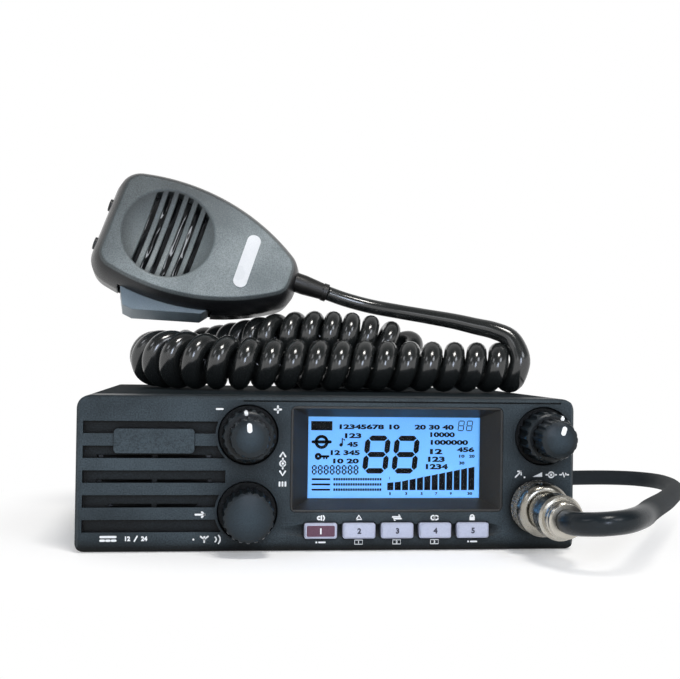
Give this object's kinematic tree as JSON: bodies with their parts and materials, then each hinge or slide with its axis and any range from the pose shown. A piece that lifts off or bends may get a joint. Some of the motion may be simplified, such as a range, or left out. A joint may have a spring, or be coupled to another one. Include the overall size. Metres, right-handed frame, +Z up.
{
  "type": "mobile transceiver",
  "caption": "Dashboard two-way radio with a sunk display, concentric knobs, a key row and a hand microphone on a curly cord with a screw-on plug.",
  "frame": {"origin": "middle of the case's underside", "axes": "+X to the right as seen from the front, +Y from the front panel to the rear, +Z up"},
  "size_m": [0.2791, 0.2413, 0.1398],
  "materials": {
    "panel_plastic": "fine moulded texture, dark grey",
    "bezel_gloss": "smooth black",
    "lens_clear": "clear window",
    "lcd_blue": "blue negative display",
    "diffuser_white": "white light guide",
    "board_green": "circuit board",
    "key_light": "translucent pale key",
    "key_dark": "dark inset key",
    "part_metal": "plated control body",
    "shaft_steel": "turned",
    "knob_black": "satin black",
    "cone_paper": "black paper cone",
    "plug_chrome": "bright nickel plate",
    "insert_black": "moulded insulation",
    "frame_cast": "die cast",
    "cover_black": "fine textured black paint",
    "screw_black": "black oxide",
    "sink_black": "black anodised",
    "insulator_ivory": "insulator",
    "component_mix": "soldered parts",
    "mic_grey": "fine moulded texture, dark grey",
    "mic_gloss": "gloss black screen",
    "label_white": "bare white plate",
    "rubber_black": "satin black jacket"
  },
  "bodies": {
    "radio": {"front_panel": "panel_plastic", "display_bezel": "bezel_gloss", "display_lens": "lens_clear", "lcd_glass": "lcd_blue", "lcd_backlight": "diffuser_white", "front_board": "board_green", "clarifier_pot": "part_metal", "channel_encoder": "part_metal", "volume_pot": "part_metal", "speaker": "frame_cast", "speaker_cone": "cone_paper", "mic_socket": "plug_chrome", "mic_socket_insert": "insert_black", "plug_shell": "plug_chrome", "plug_clamp": "plug_chrome", "side_rails": "frame_cast", "rear_wall": "frame_cast", "top_cover": "cover_black", "bottom_cover": "cover_black", "cover_screws": "screw_black", "bracket_inserts": "shaft_steel", "main_board": "board_green", "board_components": "component_mix", "heat_sink": "sink_black", "antenna_socket": "plug_chrome", "antenna_insulator": "insulator_ivory", "power_socket": "insert_black", "jack_sockets": "insert_black", "mic_front_shell": "mic_grey", "mic_rear_shell": "mic_grey", "mic_screen": "mic_gloss", "mic_board": "board_green", "ptt_pin": "shaft_steel", "mic_hang_stud": "insert_black", "mic_label_plate": "label_white", "mic_strain_relief": "rubber_black", "mic_lead": "rubber_black", "curly_cord": "rubber_black", "plug_lead": "rubber_black"},
    "clarifier_coarse": {"clarifier_coarse_shaft": "shaft_steel", "clarifier_coarse_knob": "knob_black"},
    "clarifier_fine": {"clarifier_fine_shaft": "shaft_steel", "clarifier_fine_knob": "knob_black"},
    "squelch": {"squelch_shaft": "shaft_steel", "squelch_knob": "knob_black"},
    "volume": {"volume_shaft": "shaft_steel", "volume_knob": "knob_black"},
    "channel_push": {"channel_plunger": "shaft_steel"},
    "channel_dial": {"channel_shaft": "shaft_steel", "channel_knob": "knob_black"},
    "key_1": {"key_1": "key_dark"},
    "key_2": {"key_2": "key_light"},
    "key_3": {"key_3": "key_light"},
    "key_4": {"key_4": "key_light"},
    "key_5": {"key_5": "key_light"},
    "ptt": {"ptt_lever": "mic_grey"},
    "mic_up": {"mic_up_button": "knob_black"},
    "mic_down": {"mic_down_button": "knob_black"},
    "coupling_slide": {"plug_washer": "shaft_steel"},
    "coupling_ring": {"plug_ring": "plug_chrome"}
  },
  "joints": [
    {"name": "clarifier_coarse_turn", "type": "hinge", "parent": "radio", "child": "clarifier_coarse", "pos_m": [-0.0282, -0.065, 0.0391], "axis": [0, 1, 0], "range_deg": [-150, 150]},
    {"name": "clarifier_fine_turn", "type": "hinge", "parent": "radio", "child": "clarifier_fine", "pos_m": [-0.0282, -0.065, 0.0391], "axis": [0, 1, 0], "range_deg": [-150, 150]},
    {"name": "squelch_turn", "type": "hinge", "parent": "radio", "child": "squelch", "pos_m": [0.074, -0.065, 0.0391], "axis": [0, 1, 0], "range_deg": [-170, 130]},
    {"name": "volume_turn", "type": "hinge", "parent": "radio", "child": "volume", "pos_m": [0.074, -0.065, 0.0391], "axis": [0, 1, 0], "range_deg": [-170, 130]},
    {"name": "channel_push_in", "type": "slide", "parent": "radio", "child": "channel_push", "axis": [0, 1, 0], "range_m": [0, 0.0006], "stiffness_N_per_m": 800},
    {"name": "channel_turn", "type": "hinge", "parent": "channel_push", "child": "channel_dial", "pos_m": [-0.0282, -0.065, 0.0133], "axis": [0, 1, 0], "continuous": true},
    {"name": "key_1_press", "type": "slide", "parent": "radio", "child": "key_1", "axis": [0, 1, 0], "range_m": [0, 0.0008], "stiffness_N_per_m": 600},
    {"name": "key_2_press", "type": "slide", "parent": "radio", "child": "key_2", "axis": [0, 1, 0], "range_m": [0, 0.0008], "stiffness_N_per_m": 600},
    {"name": "key_3_press", "type": "slide", "parent": "radio", "child": "key_3", "axis": [0, 1, 0], "range_m": [0, 0.0008], "stiffness_N_per_m": 600},
    {"name": "key_4_press", "type": "slide", "parent": "radio", "child": "key_4", "axis": [0, 1, 0], "range_m": [0, 0.0008], "stiffness_N_per_m": 600},
    {"name": "key_5_press", "type": "slide", "parent": "radio", "child": "key_5", "axis": [0, 1, 0], "range_m": [0, 0.0008], "stiffness_N_per_m": 600},
    {"name": "ptt_press", "type": "hinge", "parent": "radio", "child": "ptt", "pos_m": [-0.04494, 0.0185, 0.08638], "axis": [-0.0674, 0.9636, -0.2588], "range_deg": [0, 5], "stiffness_Nm_per_rad": 0.3, "springref_deg": -2.86},
    {"name": "mic_up_press", "type": "slide", "parent": "radio", "child": "mic_up", "axis": [0.9491, -0.0181, -0.3145], "range_m": [0, 0.0008], "stiffness_N_per_m": 600},
    {"name": "mic_down_press", "type": "slide", "parent": "radio", "child": "mic_down", "axis": [0.9491, -0.0181, -0.3145], "range_m": [0, 0.0008], "stiffness_N_per_m": 600},
    {"name": "coupling_travel", "type": "slide", "parent": "radio", "child": "coupling_slide", "axis": [0, -1, 0], "range_m": [0, 0.003]},
    {"name": "coupling_turn", "type": "hinge", "parent": "coupling_slide", "child": "coupling_ring", "pos_m": [0.0711, -0.065, 0.015], "axis": [0, -1, 0], "range_deg": [0, 1080]}
  ],
  "couplings": [
    {"joint": "coupling_turn", "follows": "coupling_travel", "rad_per_m": 6283.2}
  ]
}
